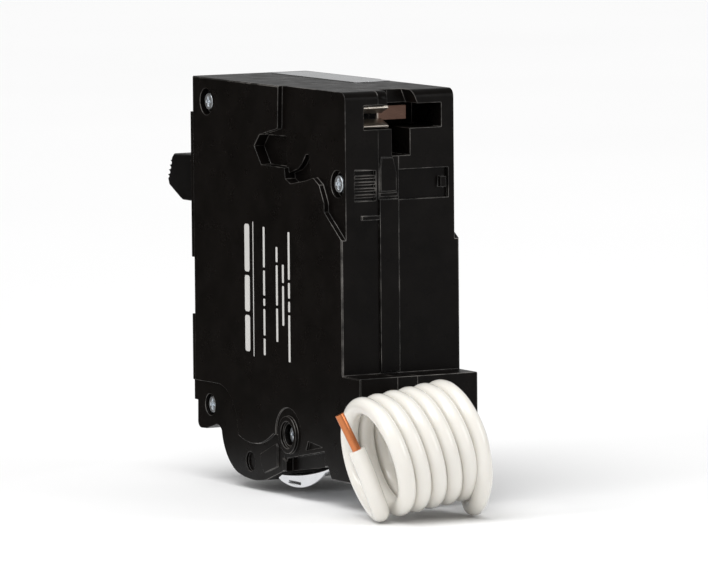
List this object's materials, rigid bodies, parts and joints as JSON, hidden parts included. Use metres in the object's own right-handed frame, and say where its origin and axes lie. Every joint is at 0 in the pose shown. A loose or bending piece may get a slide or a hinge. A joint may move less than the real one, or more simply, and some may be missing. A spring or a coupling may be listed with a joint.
{
  "type": "gfci breaker",
  "caption": "Plug-on one-pole ground-fault circuit breaker: black case, rocking handle, test button and a coiled white neutral lead with a bare end.",
  "frame": {"origin": "on the back plane that seats against the panel, midway across the width, level with the lowest point of the load end", "axes": "+Z from the load end (rail hook, wire terminals) to the line end (stab jaw), +Y from the front (handle, button) to the back that faces the panel, +X out of the label side"},
  "size_m": [0.0386, 0.1069, 0.0787],
  "materials": {
    "phenolic": "satin moulded black",
    "handle_plastic": "satin moulded black",
    "button_plastic": "smooth moulded yellow",
    "zinc_steel": "bright zinc plate",
    "spring_steel": "polished",
    "plain_steel": "satin",
    "copper": "bright drawn copper",
    "tinned_copper": "dull tin over copper",
    "silver_tip": "satin silver alloy",
    "aluminium": "satin plated",
    "bimetal_strip": "satin",
    "ferrite": "dull grey",
    "coil_tape": "wound amber tape",
    "enamel_wire": "enamelled copper",
    "bobbin_nylon": "natural nylon",
    "board_laminate": "green solder mask",
    "capacitor_film": "glossy dipped",
    "varistor_coat": "matt dipped blue",
    "chip_epoxy": "matt black",
    "resistor_coat": "glossy tan",
    "white_vinyl": "glossy white insulation",
    "bushing_plastic": "satin black",
    "label_foil": "blank bright foil"
  },
  "bodies": {
    "case": {"cover_shell": "phenolic", "middle_shell": "phenolic", "base_shell": "phenolic", "case_screws": "zinc_steel", "handle_pin": "plain_steel", "fixed_contact": "silver_tip", "line_strap": "copper", "line_jaw": "tinned_copper", "arc_plates": "zinc_steel", "arm_pin": "plain_steel", "cradle_pin": "plain_steel", "bimetal": "bimetal_strip", "magnet_yoke": "plain_steel", "load_strap": "copper", "flexible_braid": "copper", "load_lug": "aluminium", "neutral_lug": "aluminium", "sensor_core": "ferrite", "sensor_winding": "coil_tape", "line_conductor": "copper", "neutral_conductor": "white_vinyl", "neutral_strap": "copper", "solenoid_bobbin": "bobbin_nylon", "solenoid_winding": "enamel_wire", "solenoid_frame": "zinc_steel", "plunger_spring": "spring_steel", "lever_pin": "plain_steel", "circuit_board": "board_laminate", "capacitor": "capacitor_film", "varistor": "varistor_coat", "control_chip": "chip_epoxy", "thyristor": "chip_epoxy", "resistors": "resistor_coat", "button_spring": "spring_steel", "test_blade": "copper", "rail_clip": "spring_steel", "line_label": "label_foil", "lead_bushing": "bushing_plastic", "lead_root": "white_vinyl", "lead_run": "white_vinyl", "lead_coil": "white_vinyl", "lead_tail": "white_vinyl", "bare_copper": "copper"},
    "handle": {"handle": "handle_plastic"},
    "contact_arm": {"contact_arm": "copper", "moving_contact": "silver_tip", "toggle_spring": "spring_steel"},
    "cradle": {"cradle": "plain_steel"},
    "armature": {"armature": "plain_steel"},
    "plunger": {"plunger": "plain_steel"},
    "trip_lever": {"trip_lever": "bobbin_nylon"},
    "test_button": {"test_button": "button_plastic"},
    "load_screw": {"load_screw": "zinc_steel"},
    "neutral_screw": {"neutral_screw": "zinc_steel"}
  },
  "joints": [
    {"name": "handle_swing", "type": "hinge", "parent": "case", "child": "handle", "pos_m": [0, -0.0513, 0.0595], "axis": [-1, 0, 0], "range_deg": [0, 30]},
    {"name": "contact_swing", "type": "hinge", "parent": "case", "child": "contact_arm", "pos_m": [0, -0.036, 0.047], "axis": [-1, 0, 0], "range_deg": [0, 30]},
    {"name": "cradle_trip", "type": "hinge", "parent": "case", "child": "cradle", "pos_m": [0, -0.038, 0.064], "axis": [-1, 0, 0], "range_deg": [0, 15]},
    {"name": "armature_pull", "type": "hinge", "parent": "case", "child": "armature", "pos_m": [0, -0.0244, 0.03], "axis": [-1, 0, 0], "range_deg": [0, 5], "stiffness_Nm_per_rad": 0.02},
    {"name": "plunger_slide", "type": "slide", "parent": "case", "child": "plunger", "axis": [0, 0, 1], "range_m": [0, 0.002], "stiffness_N_per_m": 300, "deforming": ["plunger_spring"]},
    {"name": "trip_lever_swing", "type": "hinge", "parent": "case", "child": "trip_lever", "pos_m": [0, -0.038, 0.056], "axis": [1, 0, 0], "range_deg": [0, 15]},
    {"name": "test_button_press", "type": "slide", "parent": "case", "child": "test_button", "axis": [0, 1, 0], "range_m": [0, 0.0015], "stiffness_N_per_m": 600},
    {"name": "load_screw_turn", "type": "hinge", "parent": "case", "child": "load_screw", "pos_m": [0.006, -0.05, 0.0195], "axis": [0, 1, 0], "continuous": true},
    {"name": "neutral_screw_turn", "type": "hinge", "parent": "case", "child": "neutral_screw", "pos_m": [-0.0054, -0.05, 0.0195], "axis": [0, 1, 0], "continuous": true}
  ],
  "couplings": [
    {"joint": "contact_swing", "follows": "handle_swing", "ratio": 1},
    {"joint": "trip_lever_swing", "follows": "plunger_slide", "rad_per_m": 125}
  ]
}
